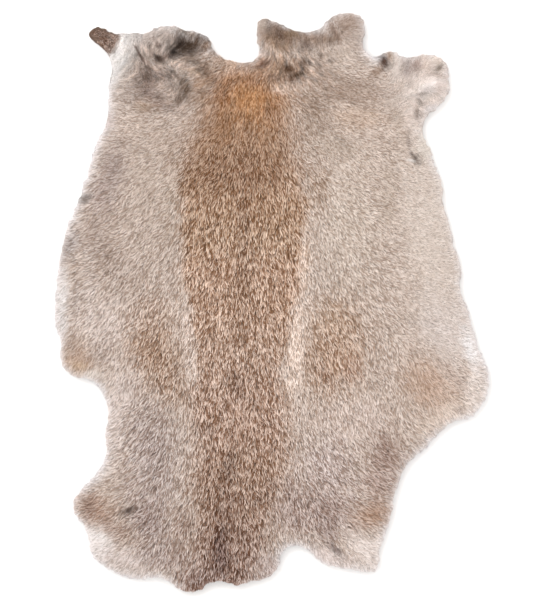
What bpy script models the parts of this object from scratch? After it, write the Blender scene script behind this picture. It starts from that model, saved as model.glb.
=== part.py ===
"""A tanned rabbit pelt lying flat with its fur up.

The pelt is one piece: the skin with the coat that grows on it. It is a lumpy slab, flat below where
the skin lies and crowned above, with the folds of its leg flaps. Locks of fur stand out round its rim.
+Y points to the neck, +Z up, and the origin is under the middle of the pelt.
"""

import math
import random

import bmesh
import bpy
import numpy as np
from mathutils import Vector, geometry, kdtree, noise

MM = 0.001

# Coat and skin
PILE = 13 * MM  # height of the coat on the back
LEAST_PILE = 3.5 * MM  # where a fold presses the coat down
CROWN = 9 * MM  # the coat reaches its full height about twice this far from the rim
LOCK_REACH = 1.7 * MM  # how far the locks stand out from the slab
FULL_WIDTH = 26 * MM  # a lobe narrower than this has a thinner coat and smaller locks, in proportion
LEAST_FULLNESS = 0.2

# Lumps of the pile
LUMP_SIZE = 17 * MM
LUMP_RISE = 1.3 * MM
SWELL_SIZE = 70 * MM
SWELL_RISE = 1.6 * MM

# Mesh
STATIONS = 280  # round the rim, with one lock at each
BACK_STEP = 7.8 * MM  # between points on the plain back
FOLD_STEP = 2.9 * MM  # between points near a fold
BASE_STEP = 34 * MM  # between points of the flat underside
INSET_STEPS = 12
INSET_SPREAD = 0.7  # share of the way to its neighbours' middle that a point moves along the edge at each step
INSET_EASE = 0.1  # and square to it
CURVE_POINTS = 12  # between two edge points

# The rim's rows from the skin up: how far inside the fullest row, and the share of the shoulder's height.
RIM_ROWS = (
    # name, inset, height share
    ("skin_edge", 4.5 * MM, 0.0),
    ("lower_fur", 0.8 * MM, 0.3),
    ("fullest", 0.0, 0.62),
    ("shoulder", 2.4 * MM, 1.0),
)
SHOULDER = 0.66  # the shoulder's height as a share of the coat's

# The rows of locks: the lower lies along the floor, the upper stands over it.
LOCK_ROWS = (
    # lowest rim row, tip height share, tip reach, height share of the bend over the straight line
    (0, 0.12, 1.2, 0.07),
    (1, 0.42, 1.1, 0.14),
)
BEND_AT = 0.55  # of a lock's length
BEND_SIZE = 0.6  # of its root
LOCK_LEAN = 1.8 * MM  # along the rim, towards the tail
LENGTH_SPREAD = 0.22
HOLLOW_TURN = 8.0  # degrees over five stations that the edge turns in; the locks of sharper ones are short
HOLLOW_REACH = 0.5
CORNER_TURN = 20.0  # and sharper corners than this have none
SEED = 7

# The fur's edge, clockwise from the scrap at the left foreleg, in millimetres
EDGE = (
    # stretch, (x, y) of its points
    ("foreleg_scrap", ((-128, 190), (-118, 191), (-112, 187), (-105, 186))),
    (
        "left_shoulder_flap",
        ((-102, 188), (-97, 189), (-94, 186), (-85, 189), (-76, 192), (-69, 193), (-64, 193))
        + ((-61, 189), (-48, 188), (-43, 185), (-39, 177), (-35, 170)),
    ),
    ("neck", ((-31, 170), (-22, 167), (-14, 167), (-7, 171))),
    (
        "left_head_lobe",
        ((-9, 179), (-10, 189), (-10, 197), (-3, 198), (4, 195), (13, 192), (21, 188), (27, 189), (31, 189)),
    ),
    (
        "right_head_lobe",
        ((38, 194), (45, 200), (55, 202), (64, 200), (67, 192), (66, 183), (66, 175), (71, 171), (77, 169)),
    ),
    (
        "right_shoulder_flap",
        ((78, 174), (84, 175), (88, 173), (95, 170), (102, 172), (118, 172), (123, 167), (126, 162))
        + ((125, 154), (127, 149), (124, 141), (117, 133), (111, 128), (107, 121), (109, 113))
        + ((113, 106), (115, 95)),
    ),
    (
        "right_flank",
        ((120, 85), (122, 69), (127, 50), (130, 35), (134, 27), (134, 10), (140, -10), (147, -35), (153, -49)),
    ),
    (
        "right_haunch",
        ((153, -64), (145, -79), (139, -84), (130, -85), (120, -93), (110, -103), (104, -110), (96, -115)),
    ),
    (
        "right_hind_leg",
        ((93, -125), (89, -133), (86, -146), (83, -160), (79, -169), (77, -182), (76, -190), (67, -191))
        + ((54, -189), (42, -187), (32, -182), (25, -175), (17, -172), (10, -174)),
    ),
    (
        "tail",
        ((8, -185), (-3, -196), (-14, -196), (-21, -200), (-28, -198), (-39, -197), (-51, -204), (-64, -203))
        + ((-73, -196), (-84, -195), (-90, -196), (-105, -193)),
    ),
    (
        "left_hind_leg",
        ((-118, -185), (-125, -179), (-128, -166), (-133, -154), (-140, -144), (-135, -136), (-130, -129))
        + ((-124, -122), (-116, -110)),
    ),
    ("left_hollow", ((-115, -105), (-116, -96), (-114, -77), (-117, -68), (-123, -58))),
    ("left_haunch", ((-134, -55), (-144, -50), (-148, -40), (-147, -29), (-151, -18), (-151, -8))),
    (
        "left_flank",
        ((-150, 11), (-147, 31), (-144, 45), (-140, 59), (-135, 67), (-134, 74), (-130, 83), (-125, 100))
        + ((-121, 113), (-116, 121), (-114, 135), (-113, 148), (-112, 164), (-113, 173)),
    ),
    ("scrap_root", ((-116, 175), (-122, 180), (-128, 186))),
)

# Folds and hollows of the coat. Angles turn from +X; length and width are half-extents.
FOLDS = (
    # name, x, y, angle, length, width, rise (millimetres and degrees)
    ("left_flap_roll", -74, 184, 15, 10, 4.8, 6.5),
    ("left_flap_tongue", -72, 177, 56, 6, 3.4, 4.5),
    ("left_flap_lip", -52, 185, -26, 8, 3.2, 3.5),
    ("left_flap_hollow", -58, 177, 22, 9, 4, -10.0),
    ("left_flap_deep", -67, 173, 22, 3.5, 3, -4.0),
    ("left_flap_pocket", -77, 168, -41, 4.2, 3, -6.5),
    ("left_flap_slit", -82, 178, -58, 5.5, 2.8, -3.5),
    ("left_flap_swell", -87, 175, -60, 8, 3.2, 2.5),
    ("left_flap_crease", -91, 170, -62, 9, 2.8, -5.5),
    ("left_shoulder_swell", -105, 172, 85, 14, 6, 2.0),
    ("left_whorl_swell", -71, 149, 0, 7, 5.5, 3.0),
    ("left_whorl_top", -70, 158, -15, 6, 2.8, -3.5),
    ("left_whorl_right", -62, 148, -62, 7.5, 3, -5.0),
    ("left_whorl_left", -86, 154, -85, 8, 3, -3.0),
    ("left_neck_line", -45, 160, -60, 6, 2.8, -3.0),
    ("left_belly_strip", -108, 160, 88, 12, 4, -2.0),
    ("nape_line", -31, 148, 60, 7, 2.8, -2.5),
    ("nape_short_line", -9, 152, 20, 6, 2.8, -2.0),
    ("left_head_lobe_dip", 9, 184, -25, 8, 4, -4.5),
    ("left_head_lobe_lip", -4, 190, 80, 6, 4, 2.5),
    ("head_parting", 24, 178, 70, 4.5, 3.2, -5.0),
    ("right_head_lobe_swell", 55, 190, 60, 9, 6, 3.0),
    ("right_head_lobe_dip", 44, 184, 60, 5, 3, -3.5),
    ("neck_left_dip", -4, 165, 0, 4, 3.2, -3.5),
    ("neck_dip", 13, 161, -60, 4, 3.2, -5.0),
    ("neck_line", 19, 157, 20, 5, 2.6, -4.0),
    ("neck_swell", 33, 168, 10, 9, 6, 2.0),
    ("right_flap_root_crease", 82, 164, 60, 4.5, 3.2, -5.5),
    ("right_flap_first_ridge", 87, 160, -80, 9, 3.6, 4.0),
    ("right_flap_valley", 97, 161, -85, 8, 4, -5.0),
    ("right_flap_second_ridge", 107, 164, -80, 5, 3, 2.5),
    ("right_flap_long_ridge", 108, 149, 27, 12, 4.2, 5.0),
    ("right_flap_end_spot", 118, 162, 45, 3.5, 2.8, -4.0),
    ("right_flap_end_crease", 117, 157, 0, 6, 2.8, -5.0),
    ("right_flap_lobe_swell", 118, 150, -30, 6, 4, 2.0),
    ("right_flap_under_crease", 108, 143, 12, 4.5, 2.8, -5.0),
    ("right_flap_back_dip", 106, 137, -60, 4, 2.8, -4.0),
    ("right_flap_low_swell", 112, 136, 25, 5, 3.5, 2.5),
    ("right_flap_back_crease", 103, 130, -87, 5, 2.8, -5.5),
    ("right_side_crease", 97, 110, -83, 7, 2.8, -3.0),
    ("right_side_swell", 106, 110, -85, 9, 4, 2.5),
    ("right_side_pinch", 102, 98, -51, 4.5, 2.8, -6.0),
    ("left_flank_nick", -129, 71, 25, 6, 3, -5.0),
    ("left_flank_dip", -135, 30, -30, 10, 4.5, -2.5),
    ("left_hind_crease", -97, -147, 18, 8, 3.4, -5.0),
    ("right_hind_groove", 46, -175, -48, 9, 3.4, -5.0),
    ("right_haunch_crease", 104, -16, -14, 14, 4, -2.5),
    ("right_haunch_dip", 92, -104, 50, 12, 6, -2.0),
)
FOLD_EXTENT = 1.9  # half-extents from its middle that a fold still shapes the mesh

# Colour, roughness and metallic value of the coat
FUR_COLOUR = (0.42, 0.32, 0.25, 1.0)
FUR_ROUGHNESS = 0.85


def edge_points():
    """The edge's given points in metres."""
    return np.array([point for _, stretch in EDGE for point in stretch]) * MM


def smooth_loop(values, steps):
    """Catmull-Rom curve through closed rows of values, with steps points from each row to the next."""
    t = np.linspace(0, 1, steps, endpoint=False)[None, :, None]
    before, start, end, after = (np.roll(values, shift, axis=0)[:, None] for shift in (1, 0, -1, -2))
    curve = start + 0.5 * t * (
        end - before + t * (2 * before - 5 * start + 4 * end - after + t * (3 * (start - end) + after - before))
    )
    return curve.reshape(-1, values.shape[1])


def even_loop(values, count):
    """The closed rows of values at count places that are equally far apart in X and Y."""
    closed = np.vstack([values, values[:1]])
    along = np.concatenate([[0], np.cumsum(np.linalg.norm(np.diff(closed[:, :2], axis=0), axis=1))])
    places = np.linspace(0, along[-1], count, endpoint=False)
    return np.stack([np.interp(places, along, column) for column in closed.T], axis=1)


def outward_normals(loop):
    """Unit normals of a clockwise loop, seen from above."""
    tangent = np.roll(loop, -1, axis=0) - np.roll(loop, 1, axis=0)
    tangent /= np.linalg.norm(tangent, axis=1, keepdims=True)
    return np.stack([-tangent[:, 1], tangent[:, 0]], axis=1)


def room_inside(loop):
    """How far the far side of the loop is from each station, straight inwards."""
    heading = -outward_normals(loop)[:, None]
    side = (np.roll(loop, -1, axis=0) - loop)[None]
    gap = loop[None] - loop[:, None]
    with np.errstate(divide="ignore", invalid="ignore"):
        slant = np.cross(heading, side)
        reach = np.cross(gap, side) / slant
        place = np.cross(gap, heading) / slant
    meets = (place >= 0) & (place <= 1) & (reach > 1e-6)
    return np.where(meets, reach, np.inf).min(axis=1)


def coat_fullness(loop):
    """The depth of the coat and the size of its locks at each station, as a share of the full ones."""
    full = np.clip(room_inside(loop) / FULL_WIDTH, LEAST_FULLNESS, 1)
    full = np.minimum(full, np.minimum(np.roll(full, 1), np.roll(full, -1)))
    for _ in range(3):
        full = (np.roll(full, 1) + 2 * full + np.roll(full, -1)) / 4
    return full


def inset_loop(loop, distance):
    """The loop moved inwards by distance at each station, eased so that its corners don't fold over."""
    for _ in range(INSET_STEPS):
        loop = loop - outward_normals(loop) * (distance / INSET_STEPS)[:, None]
        normal = outward_normals(loop)
        ease = (np.roll(loop, 1, axis=0) + np.roll(loop, -1, axis=0)) / 2 - loop
        square = np.sum(ease * normal, axis=1, keepdims=True) * normal
        loop = loop + (ease - square) * INSET_SPREAD + square * INSET_EASE
    return loop


def fold_rise(x, y):
    """What the folds add to the coat's height at a place."""
    rise = 0.0
    for _, fold_x, fold_y, angle, length, width, height in FOLDS:
        dx, dy = x / MM - fold_x, y / MM - fold_y
        turn = math.radians(angle)
        along = (dx * math.cos(turn) + dy * math.sin(turn)) / length
        across = (dy * math.cos(turn) - dx * math.sin(turn)) / width
        rise += height * math.exp(-along * along - across * across)
    return rise * MM


def near_fold(x, y):
    """Whether a fold shapes the coat at this place."""
    for _, fold_x, fold_y, angle, length, width, _ in FOLDS:
        dx, dy = x / MM - fold_x, y / MM - fold_y
        turn = math.radians(angle)
        along = (dx * math.cos(turn) + dy * math.sin(turn)) / length
        across = (dy * math.cos(turn) - dx * math.sin(turn)) / width
        if math.hypot(along, across) < FOLD_EXTENT:
            return True
    return False


def lumps(x, y):
    """Uneven swelling of the skin, and the smaller lumps of the pile on it."""
    swell = noise.noise(Vector((x, y, 0)) / SWELL_SIZE) * SWELL_RISE
    return swell + noise.noise(Vector((x, y, LUMP_SIZE)) / LUMP_SIZE) * LUMP_RISE


def coat_height(x, y, inside, fullness):
    """The coat's height at a place that lies this far inside the shoulder row."""
    crown = SHOULDER + (1 - SHOULDER) * (1 - math.exp(-inside / CROWN))
    return max(PILE * fullness * crown + lumps(x, y) + fold_rise(x, y), LEAST_PILE * fullness)


def lattice(low, high, step):
    """Points of an even triangular lattice over a rectangle."""
    row_step = step * math.sqrt(3) / 2
    for row in range(int((high[1] - low[1]) / row_step) + 1):
        for column in range(int((high[0] - low[0]) / step) + 1):
            yield low[0] + (column + row % 2 / 2) * step, low[1] + row * row_step


def inside_loop(x, y, loop):
    """Whether a place is inside a closed loop, by the edges that a ray along +X crosses."""
    start, end = loop, np.roll(loop, -1, axis=0)
    spans = (start[:, 1] > y) != (end[:, 1] > y)
    start, end = start[spans], end[spans]
    crossing = start[:, 0] + (y - start[:, 1]) / (end[:, 1] - start[:, 1]) * (end[:, 0] - start[:, 0])
    return np.count_nonzero(crossing > x) % 2 == 1


def tree_of(loop):
    tree = kdtree.KDTree(len(loop))
    for index, (x, y) in enumerate(loop):
        tree.insert((x, y, 0), index)
    tree.balance()
    return tree


def fill_flat(bm, row, loop):
    """Closes the underside with wide triangles."""
    tree, low, high = tree_of(loop), loop.min(axis=0), loop.max(axis=0)
    places = [
        place
        for place in lattice(low, high, BASE_STEP)
        if inside_loop(*place, loop) and tree.find((*place, 0))[2] > 0.4 * BASE_STEP
    ]
    vertices = [*row, *(bm.verts.new((*place, 0)) for place in places)]
    add_triangles(bm, vertices, [*loop.tolist(), *places], len(loop))


def add_triangles(bm, vertices, places, edge_count):
    """Faces between vertices above these places, within the closed loop that the first ones make."""
    rim = list(range(edge_count))
    triangles = geometry.delaunay_2d_cdt([Vector(place) for place in places], [], [rim[::-1]], 1, 1e-7)[2]
    for corners in triangles:
        bm.faces.new([vertices[corner] for corner in corners])


def back_places(shoulder):
    """Places for the top's points inside the shoulder row: close together near folds, and wider elsewhere."""
    tree, low, high = tree_of(shoulder), shoulder.min(axis=0), shoulder.max(axis=0)
    places = []
    for step, wants_fold in ((FOLD_STEP, True), (BACK_STEP, False)):
        for x, y in lattice(low, high, step):
            if near_fold(x, y) != wants_fold or not inside_loop(x, y, shoulder):
                continue
            if tree.find((x, y, 0))[2] > 0.6 * step:
                places.append((x, y))
    return places


def loft_rows(bm, rows):
    """Quads between each closed row of vertices and the next one up."""
    count = len(rows[0])
    for lower, upper in zip(rows, rows[1:]):
        for station in range(count):
            after = (station + 1) % count
            bm.faces.new((lower[after], lower[station], upper[station], upper[after]))


def fill_back(bm, shoulder_row, shoulder, fullness):
    """Closes the top with an even triangulation that carries the coat's height."""
    tree = tree_of(shoulder)
    places = back_places(shoulder)
    vertices = list(shoulder_row)
    for x, y in places:
        _, station, inside = tree.find((x, y, 0))
        full = fullness[station] + (1 - fullness[station]) * min(inside / FULL_WIDTH, 1)
        vertices.append(bm.verts.new((x, y, coat_height(x, y, inside, full))))
    add_triangles(bm, vertices, [*shoulder.tolist(), *places], len(shoulder))


def grow_locks(bm, rows, outline, fullness):
    """Draws each lock out of a quad of the rim: a bent taper of four sides that ends in a point at the fur's edge."""
    rng = random.Random(SEED)
    count = len(outline)
    bm.faces.ensure_lookup_table()
    turns = np.roll(outline, -1, axis=0) - outline
    headings = np.unwrap(np.arctan2(turns[:, 1], turns[:, 0]))
    for station in range(count):
        low_row, tip_share, reach, bend_share = LOCK_ROWS[station % 2]
        after = (station + 1) % count
        corners = {rows[r][s] for r in (low_row, low_row + 1) for s in (station, after)}
        root = next(face for face in rows[low_row][station].link_faces if set(face.verts) == corners)
        centre = root.calc_center_median()
        to_edge = Vector(((outline[station] + outline[after]) / 2).tolist()) - centre.xy
        straight_out = (rows[2][after].co.xy - rows[2][station].co.xy).orthogonal().normalized()
        outward = (to_edge + straight_out * to_edge.length) / 2
        turn_in = math.degrees(headings[(station + 2) % count] - headings[station - 2])
        turn_in = (turn_in + 180) % 360 - 180
        if turn_in > CORNER_TURN:
            continue
        if turn_in > HOLLOW_TURN:
            reach = reach * HOLLOW_REACH
        reach = reach * (1 - LENGTH_SPREAD * rng.random())
        height = rows[-1][station].co.z
        lean = Vector((0, -LOCK_LEAN * fullness[station]))
        lean -= lean.project(outward)
        tip_xy = centre.xy + (outward + lean) * reach
        tip = Vector((tip_xy.x, tip_xy.y, height * tip_share))
        bend = centre.lerp(tip, BEND_AT)
        bend.z += height * bend_share
        drawn = bmesh.ops.extrude_discrete_faces(bm, faces=[root])["faces"][0]
        for vertex in drawn.verts:
            vertex.co = bend + (vertex.co - centre) * BEND_SIZE
        point = bmesh.ops.poke(bm, faces=[drawn])["verts"][0]
        point.co = tip


def fur_material():
    material = bpy.data.materials.new("rabbit_fur")
    material.use_nodes = True
    surface = material.node_tree.nodes["Principled BSDF"]
    surface.inputs["Base Color"].default_value = FUR_COLOUR
    surface.inputs["Roughness"].default_value = FUR_ROUGHNESS
    surface.inputs["Metallic"].default_value = 0.0
    return material


def pelt_object():
    """The pelt as one closed solid, with the middle of its underside at the origin."""
    outline = even_loop(smooth_loop(edge_points(), CURVE_POINTS), STATIONS)
    fullness = coat_fullness(outline)
    loops = [inset_loop(outline, (LOCK_REACH + inset) * fullness) for _, inset, _ in RIM_ROWS]
    shoulder = loops[-1]
    heights = [coat_height(x, y, 0, full) for (x, y), full in zip(shoulder, fullness)]

    bm = bmesh.new()
    rows = [
        [bm.verts.new((x, y, share * height)) for (x, y), height in zip(loop, heights)]
        for loop, (_, _, share) in zip(loops, RIM_ROWS)
    ]
    fill_flat(bm, rows[0], loops[0])
    loft_rows(bm, rows)
    fill_back(bm, rows[-1], shoulder, fullness)
    grow_locks(bm, rows, outline, fullness)
    places = np.array([vertex.co for vertex in bm.verts])
    middle = (places.min(axis=0) + places.max(axis=0)) / 2
    bmesh.ops.translate(bm, verts=bm.verts, vec=(-middle[0], -middle[1], 0))
    bmesh.ops.recalc_face_normals(bm, faces=bm.faces)

    mesh = bpy.data.meshes.new("pelt")
    bm.to_mesh(mesh)
    bm.free()
    mesh.shade_smooth()
    mesh.set_sharp_from_angle(angle=math.radians(50))
    mesh.materials.append(fur_material())
    return bpy.data.objects.new("pelt", mesh)


def main():
    for obj in list(bpy.data.objects):
        bpy.data.objects.remove(obj, do_unlink=True)
    collection = bpy.data.collections.new("rabbit_pelt")
    bpy.context.scene.collection.children.link(collection)
    collection.objects.link(pelt_object())


main()
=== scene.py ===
"""The rabbit pelt's looks: the wool of its coat, the hair on it and at its rim, and its skin."""

import math
from collections import namedtuple

import bmesh
import bpy
import numpy as np
from mathutils import Matrix, Vector, kdtree


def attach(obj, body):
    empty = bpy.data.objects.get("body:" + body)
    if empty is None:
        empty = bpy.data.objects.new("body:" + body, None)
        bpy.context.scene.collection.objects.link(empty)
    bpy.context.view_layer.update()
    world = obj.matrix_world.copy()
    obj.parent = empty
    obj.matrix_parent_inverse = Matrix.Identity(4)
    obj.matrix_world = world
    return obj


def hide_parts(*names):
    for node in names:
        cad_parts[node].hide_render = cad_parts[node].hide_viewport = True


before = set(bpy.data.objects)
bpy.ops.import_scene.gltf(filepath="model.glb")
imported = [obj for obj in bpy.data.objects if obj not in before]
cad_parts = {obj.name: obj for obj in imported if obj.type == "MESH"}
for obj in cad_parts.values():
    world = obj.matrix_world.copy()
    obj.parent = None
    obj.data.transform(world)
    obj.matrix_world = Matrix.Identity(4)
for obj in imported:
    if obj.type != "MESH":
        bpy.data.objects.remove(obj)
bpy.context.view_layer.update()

MM = 0.001

# The photograph's scale, its size, and the pixel that shows the frame's origin
PIXEL = 0.7 * MM
PHOTO_WIDE, PHOTO_TALL = 540, 600
PHOTO_ORIGIN = (272.59, 301.95)

# Wool
WELD = 0.01 * MM
WOOL_VOXEL = 1.55 * MM
WOOL_STRETCH = 2.5  # the solid is this much taller while the wool is taken from it, to keep its thin places
WOOL_EASE = 10  # rounds of smoothing, each a step in and a step out
EASE_IN = 0.5
EASE_OUT = -0.52
LOCK_SHARPNESS = 0.93  # the mean normal at a lock's point is shorter than this
LOCK_UP = 0.8  # and rises less
OUTLINE_CELL = 0.4 * MM  # of the grid that holds the solid's outline
OUTLINE_MARGIN = 4 * MM
OUTLINE_SOFTENING = 9  # rounds, each of half a cell's square
OUTLINE_INWARD = 3 * MM  # how far in and out of the rim the outline is looked for
OUTLINE_OUTWARD = 6 * MM
OUTLINE_STAND = 0.85 * MM  # how far past it the wool goes where the coat is deep
RIM_LEVEL = 1.0 * MM  # the rim is higher than this
RIM_STEEP = 0.35  # and its normals rise or fall less than this
RIM_LUMPS = 0.5 * MM  # how uneven it is
RIM_LUMP_SIZE = 2.4 * MM
WOOL_PULL = 4 * MM  # how far inside the rim the wool still follows it
PULL_EASE = 3  # rounds of smoothing of that pull
HOLLOW_EASE = 40  # rounds of smoothing that tell a hollow from the coat round it
HOLLOW_DEPTHS = (0.3 * MM, 2.2 * MM)  # of a slight and of a full one
HOLLOW_SHORT = 0.5  # how much shorter the strands in it are
HOLLOW_PAINTED_SHADE = 0.15  # and how much darker their colour is, as painted shade
THIN, THICK = 1.5 * MM, 4.5 * MM  # heights of the coat where the wool lies at its surface, and full deep
THIN_LENGTH = 0.4  # the share of its length that a strand keeps in a thin coat
WOOL_SINK = 1.6 * MM  # how far the wool lies inside the coat's surface
WOOL_RIPPLE = 0.5 * MM
WOOL_RIPPLE_SIZE = 3.4 * MM
WOOL_FLOOR = 0.8 * MM  # the wool ends this far over the floor, inside the skin's thickness
WOOL_KEEP = 0.62  # the share of its faces that stays when its hidden underside is thinned
UNDERSIDE = -0.95  # normals of an underside fall more than this

# Skin
SKIN_THICK = 1.2 * MM
SKIN_LEVEL = 0.001 * MM  # the solid's points below this are its underside's
SKIN_COLOURS = ((0.3, (206, 186, 160)), (0.55, (226, 212, 190)), (0.75, (214, 192, 164)))

# Hair: groups of strands, each a mesh of its own
HAIR = (
    # name, strands, length, its spread, width, lift at the root and droop at the tip (degrees), roll, clump
    ("under_hair", 60000, 4.8 * MM, 0.25, 1.05 * MM, 26, 10, 40, 0.15),
    ("guard_hair_a", 66000, 4.8 * MM, 0.3, 0.8 * MM, 27, 18, 34, 0.35),
    ("guard_hair_b", 66000, 5.2 * MM, 0.3, 0.66 * MM, 29, 20, 34, 0.35),
    ("guard_hair_c", 30000, 5.8 * MM, 0.3, 0.56 * MM, 28, 20, 34, 0.3),
)
RIM_HAIR = ("rim_hair", 56000, 3.0 * MM, 0.3, 0.34 * MM, 20, 22, 70, 0.0)
HAIR_FINISH = (
    # name, how pale the root of a ticked strand is (partly underfur colour, partly painted shade), gain in
    # red, green and blue
    ("under_hair", 0.55, (1.17, 1.155, 1.155)),
    ("guard_hair", 0.55, (1.275, 1.255, 1.25)),
    ("rim_hair", 0.8, (1.275, 1.26, 1.26)),
)
SEED = 11
ROW_WIDTH = 4 * MM  # roots are shared out in rows of this width, to be even
HAIRLESS = (-0.5, -0.2)  # normals that fall more than the first have no hair, and those past the second all
ROOT_DEPTH = 0.3 * MM  # how far a root lies inside the wool
LEAST_HEIGHT = 0.35 * MM  # of waist and tip over the floor
WANDER = 12.0  # degrees that strands turn from the coat's way
LIFT_SPREAD, DROOP_SPREAD = 7.0, 5.0  # degrees
BEND = 0.1  # how far a tip leans to its side
NARROWEST, WIDTH_SPREAD = 0.75, 0.5  # the least share of its width that a strand has, and the most besides
ROOT_WIDTH = 0.8  # a root's width as a share of its waist's
WAIST = 0.55  # how far up a strand its waist counts in colour
TUFT_CELL = 2.6 * MM  # tips in one cell of this size lean together
TUFT_WARP, TUFT_WARP_SIZE = 0.35, 5 * MM  # how the cells are drawn out of line
PATCHES = 0.14  # how much pale and dark strands keep together
PATCH_WAVES = ((0.6, 4 * MM, 6), (1, 1.7 * MM, 7))  # share, size, seed
PALE_TICK = (40, 46, 50)  # how much paler and darker than the coat the strands' tips are, of 255
DARK_TICK = (-56, -62, -67)
TIP_LIMITS = (4, 250)
PALE_SHARE = (0.5, 0.25)  # of a strand's own number, 0 to 1: where tips turn pale, and where all are
DARK_SHARE = (0.5, 0.8)
PALE_EASE, DARK_EASE = 1.2, 0.8  # powers of the ticking
# The shares of its length, width and roll that a strand keeps in a coat without ticks, and in a fine one
SOFT_LENGTH, SOFT_WIDTH, SOFT_ROLL = 0.72, 0.5, 0.45
FINE_LENGTH, FINE_WIDTH, FINE_ROLL = 0.66, 0.62, 0.6
SOFT_TURN = 10.0  # degrees more that strands wander where the coat has no ticks
SOFT_ROOT = 0.86  # how pale their roots are there
SOFT_GAIN = (0.865, 0.9, 0.932)  # and their colour
FINE_CROWD = 1.5  # how much closer they stand where it is fine
RIM_BELT = (2 * MM, 5 * MM)  # rim hair thins out from the first to the second, inside the rim
RIM_LENGTH = 0.42  # the share of its length that a strand of the coat keeps at the rim
RIM_EASE = 6 * MM  # how far inside it has all of it
COAT_PULL, RIM_PULL = 0.75, 1.1  # how much strands turn outwards at the rim
PULL_REACH = 4.5 * MM
COAT_FUZZ = 0.5 * MM  # how far the coat's strands stand out past the rim
RIM_FUZZ = 1.0 * MM  # and the rim's own
EVEN_FUZZ = 0.25  # the share of it that all have
FUZZ_TUFT_SIZE = 1.6 * MM
LEAST_LEAN = 0.2  # the share of its length that a strand counts as leaning out

# Which way the hair lies: degrees from the tail's direction, positive towards the photograph's right
FLOW = (
    # pixel x, y, degrees
    (248, 70, -5), (248, 100, -3), (245, 150, 0), (243, 220, 0), (240, 300, 0), (238, 380, 0),
    (236, 460, 0), (230, 530, 0), (222, 575, 0), (222, 100, -22), (205, 125, -38), (200, 170, -20),
    (195, 230, -14), (192, 300, -8), (195, 380, -4), (196, 460, -4), (170, 130, -66), (135, 128, -80),
    (112, 140, -72), (165, 170, -45), (130, 175, -55), (100, 180, -60), (160, 220, -42), (125, 225, -50),
    (85, 225, -55), (155, 270, -34), (115, 270, -44), (75, 262, -70), (160, 320, -20), (125, 320, -30),
    (90, 325, -40), (65, 310, -55), (155, 365, -14), (125, 370, -24), (80, 355, -35), (100, 360, -32),
    (170, 420, -14), (140, 430, -38), (115, 430, -50), (170, 465, -18), (140, 470, -40), (110, 475, -55),
    (90, 500, -62), (170, 510, -20), (140, 515, -40), (110, 520, -62), (100, 545, -66), (125, 560, -50),
    (155, 560, -30), (185, 550, -12), (195, 580, -12), (285, 130, 12), (290, 200, 14), (295, 260, 14),
    (290, 330, 8), (285, 400, 6), (280, 460, 10), (270, 520, 10), (265, 565, 10), (320, 110, 50),
    (320, 160, 40), (325, 220, 32), (325, 280, 24), (325, 340, 16), (325, 400, 18), (320, 450, 28),
    (350, 110, 66), (350, 170, 52), (360, 230, 46), (360, 290, 38), (360, 350, 22), (360, 400, 16),
    (350, 450, 34), (385, 150, 68), (390, 200, 66), (395, 260, 58), (395, 310, 48), (390, 360, 26),
    (390, 410, 16), (400, 440, 44), (425, 180, 76), (430, 240, 78), (435, 290, 76), (425, 330, 58),
    (425, 375, 32), (430, 405, 32), (450, 330, 70), (460, 370, 60), (470, 400, 60), (450, 415, 48),
    (420, 445, 42), (320, 490, 34), (345, 490, 42), (375, 475, 54), (392, 480, 66), (300, 520, 18),
    (330, 530, 38), (360, 515, 62), (382, 520, 72), (360, 545, 58), (370, 562, 42), (335, 560, 30),
    (120, 60, -60), (118, 95, -75), (150, 60, -60), (140, 90, -70), (165, 40, -60), (190, 50, -50),
    (205, 60, -40), (270, 30, 20), (275, 52, 25), (300, 45, 30), (300, 65, 40), (330, 60, 60),
    (335, 30, 30), (352, 30, 20), (350, 55, 50), (330, 88, 68), (365, 80, 75), (390, 90, 80),
    (400, 100, 90), (400, 70, 100), (420, 80, 95), (430, 100, 85), (410, 118, 70), (395, 125, 72),
)
FLOW_REACH = 26.0  # pixels
FAR_FLOW = 1e-3  # how much a row still counts beyond its reach
FLAP_FLOW = (
    # pixel x, y, degrees, for the folded flaps at the top, where it turns in a smaller space
    (122, 45, -35), (118, 65, -30), (134, 40, 30), (143, 52, 35), (152, 64, 40), (158, 34, -48),
    (168, 38, -42), (174, 44, -27), (164, 52, -30), (186, 40, -12), (197, 41, 5), (190, 51, -80),
    (202, 50, -70), (181, 51, -75), (190, 62, -85), (206, 60, -45), (200, 68, -82), (95, 36, 60),
    (106, 44, 60), (155, 74, 95), (170, 73, 80), (182, 84, -10), (182, 98, -40), (168, 104, -90),
    (152, 100, -110), (146, 88, -60), (164, 86, -85), (195, 76, -80), (208, 78, -50), (202, 90, -60),
    (130, 88, -80), (134, 106, -120), (386, 62, 10), (398, 66, 175), (398, 82, 170), (410, 64, 160),
    (412, 80, 150), (425, 72, 120), (440, 78, 100), (438, 96, 70), (424, 100, 60), (414, 108, 20),
    (404, 110, 170), (266, 30, -60), (282, 30, -10), (296, 38, 20), (345, 22, 150), (355, 34, 90),
    (330, 34, -30), (264, 64, -60), (284, 72, -20), (300, 66, 30), (285, 84, 40),
)
FLAP_FLOW_REACH = 11.0  # pixels
FLAP_FLOW_SHARE = 6.0
FLOW_WAVE = 13.0  # degrees that the hair's direction wanders
FLOW_WAVES = ((1, 8 * MM, 1), (0.8, 3.2 * MM, 2))  # share, size, seed

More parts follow.
